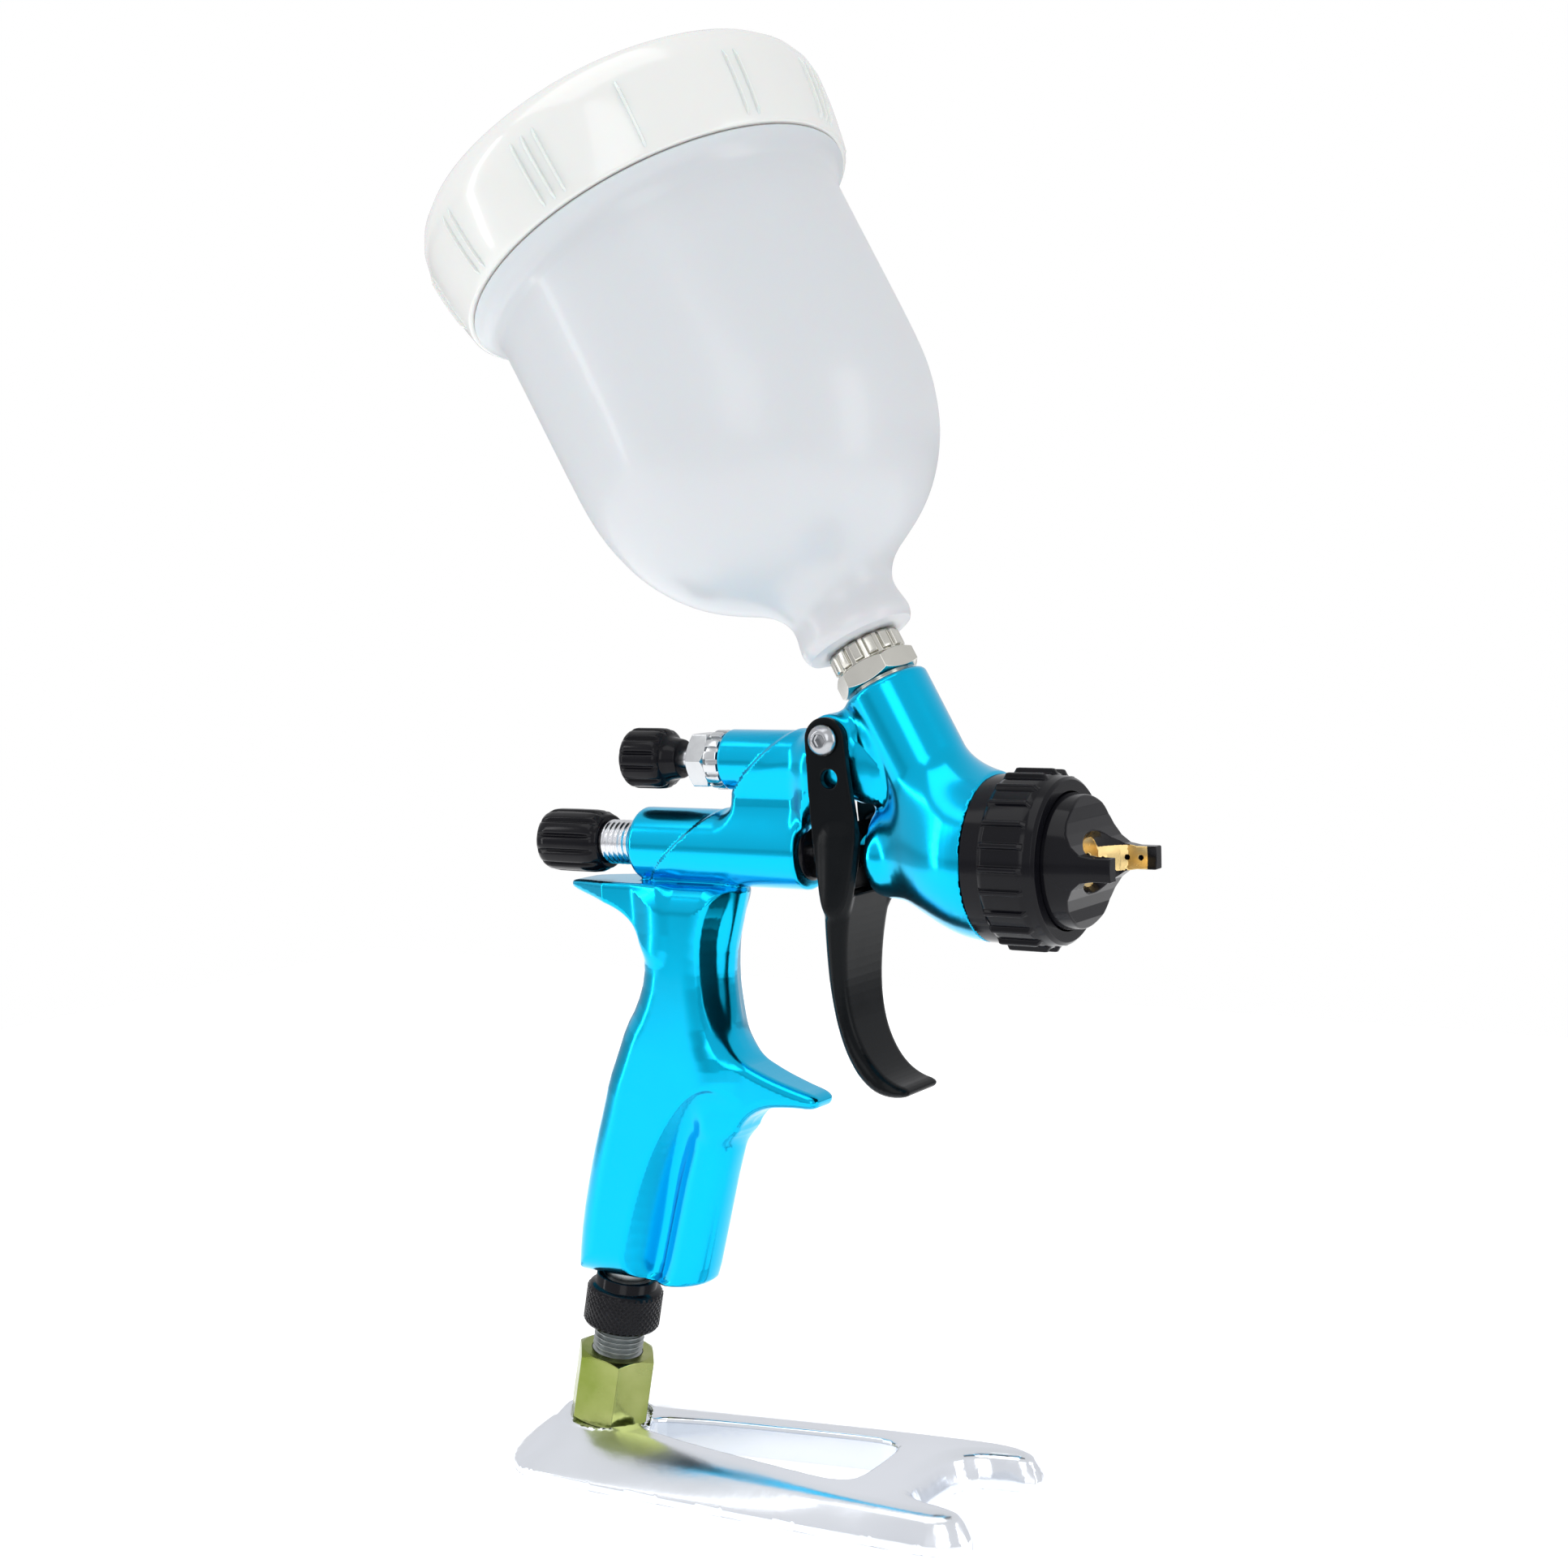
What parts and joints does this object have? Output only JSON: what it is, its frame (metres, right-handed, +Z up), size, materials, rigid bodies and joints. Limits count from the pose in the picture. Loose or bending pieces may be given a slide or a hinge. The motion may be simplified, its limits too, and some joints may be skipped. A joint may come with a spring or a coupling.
{
  "type": "gravity-feed spray gun",
  "caption": "Gravity-feed spray gun with trigger, adjusting knobs, turnable air cap and lidded plastic cup, screwed onto a flat forked stand.",
  "frame": {"origin": "on the stand's flat underside, where the axis of the air inlet meets it", "axes": "+X along the spray direction, +Z up, Y = 0 is the plane of symmetry"},
  "size_m": [0.1817, 0.11, 0.3579],
  "materials": {
    "cast_aluminium": "polished sand casting",
    "plated_steel": "zinc plated",
    "yellow_zinc": "yellow chromate zinc plate",
    "bright_steel": "turned bright",
    "spring_steel": "drawn wire",
    "nickel": "satin nickel plate",
    "black_anodised": "gloss black anodised",
    "black_satin": "satin black anodised",
    "blue_anodised": "gloss blue anodised over polish",
    "raw_brass": "turned",
    "white_ptfe": "moulded",
    "black_rubber": "moulded",
    "milky_plastic": "translucent, blow moulded",
    "ivory_plastic": "injection moulded",
    "amber_nylon": "woven mesh"
  },
  "bodies": {
    "gun": {"stand_base": "cast_aluminium", "stand_bolt": "plated_steel", "stand_hex_nut": "yellow_zinc", "inlet_nipple": "bright_steel", "gun_body": "blue_anodised", "needle_bushing": "bright_steel", "needle_packing": "white_ptfe", "packing_nut": "nickel", "air_valve_body": "black_anodised", "fan_valve_body": "nickel", "trigger_pivot_pin": "bright_steel", "trigger_screws": "bright_steel", "fluid_nozzle": "bright_steel", "nozzle_seal": "white_ptfe", "baffle_ring": "raw_brass", "cup_fitting": "nickel", "fluid_cup": "milky_plastic", "paint_strainer": "amber_nylon", "air_valve_spring": "spring_steel", "needle_spring": "spring_steel"},
    "inlet_collar": {"inlet_collar": "black_anodised"},
    "trigger": {"trigger": "black_satin"},
    "air_valve": {"air_valve_stem": "bright_steel", "air_valve_seal": "black_rubber"},
    "needle": {"fluid_needle": "bright_steel"},
    "needle_pad": {"needle_spring_pad": "bright_steel"},
    "needle_knob": {"needle_knob": "black_anodised"},
    "fan_seal": {"fan_valve_oring": "black_rubber"},
    "fan_valve": {"fan_valve_stem": "bright_steel", "fan_knob": "black_anodised"},
    "cap_ring": {"air_cap_ring": "black_anodised", "ring_clip": "spring_steel"},
    "cap": {"air_cap": "black_anodised"},
    "lid": {"cup_lid": "ivory_plastic", "lid_gasket": "black_rubber"},
    "vent_plug": {"lid_vent_plug": "black_rubber"}
  },
  "joints": [
    {"name": "trigger_pull", "type": "hinge", "parent": "gun", "child": "trigger", "pos_m": [0.0809, 0, 0.1899], "axis": [0, 1, 0], "range_deg": [0, 11.5], "stiffness_Nm_per_rad": 4, "springref_deg": -2.86},
    {"name": "air_valve_slide", "type": "slide", "parent": "gun", "child": "air_valve", "axis": [-1, 0, 0], "range_m": [0, 0.0058], "deforming": ["air_valve_spring"]},
    {"name": "needle_slide", "type": "slide", "parent": "gun", "child": "needle", "axis": [-1, 0, 0], "range_m": [0, 0.005], "deforming": ["needle_spring"]},
    {"name": "needle_stop_slide", "type": "slide", "parent": "gun", "child": "needle_pad", "axis": [-1, 0, 0], "range_m": [0, 0.003]},
    {"name": "needle_knob_turn", "type": "hinge", "parent": "needle_pad", "child": "needle_knob", "pos_m": [-0.004, 0, 0.162], "axis": [-1, 0, 0], "range_deg": [0, 1080]},
    {"name": "fan_stem_slide", "type": "slide", "parent": "gun", "child": "fan_seal", "axis": [-1, 0, 0], "range_m": [0, 0.0015]},
    {"name": "fan_knob_turn", "type": "hinge", "parent": "fan_seal", "child": "fan_valve", "pos_m": [0.024, 0, 0.1837], "axis": [-1, 0, 0], "range_deg": [0, 720]},
    {"name": "ring_turn", "type": "hinge", "parent": "gun", "child": "cap_ring", "pos_m": [0.13, 0, 0.162], "axis": [1, 0, 0], "range_deg": [0, 360]},
    {"name": "air_cap_turn", "type": "hinge", "parent": "cap_ring", "child": "cap", "pos_m": [0.137, 0, 0.162], "axis": [1, 0, 0], "range_deg": [-90, 90]},
    {"name": "lid_lift", "type": "slide", "parent": "gun", "child": "lid", "axis": [-0.4879, 0, 0.8729], "range_m": [0, 0.045]},
    {"name": "vent_plug_pull", "type": "slide", "parent": "lid", "child": "vent_plug", "axis": [-0.4879, 0, 0.8729], "range_m": [0, 0.0035]},
    {"name": "inlet_collar_turn", "type": "hinge", "parent": "gun", "child": "inlet_collar", "pos_m": [0.00823, 0, 0.04119], "axis": [0.1959, 0, 0.9806], "continuous": true}
  ],
  "couplings": [
    {"joint": "air_valve_slide", "follows": "trigger_pull", "m_per_rad": 0.0284},
    {"joint": "needle_slide", "follows": "trigger_pull", "m_per_rad": 0.0244},
    {"joint": "needle_stop_slide", "follows": "needle_knob_turn", "m_per_rad": 0.00015915},
    {"joint": "fan_stem_slide", "follows": "fan_knob_turn", "m_per_rad": 0.00011937}
  ]
}
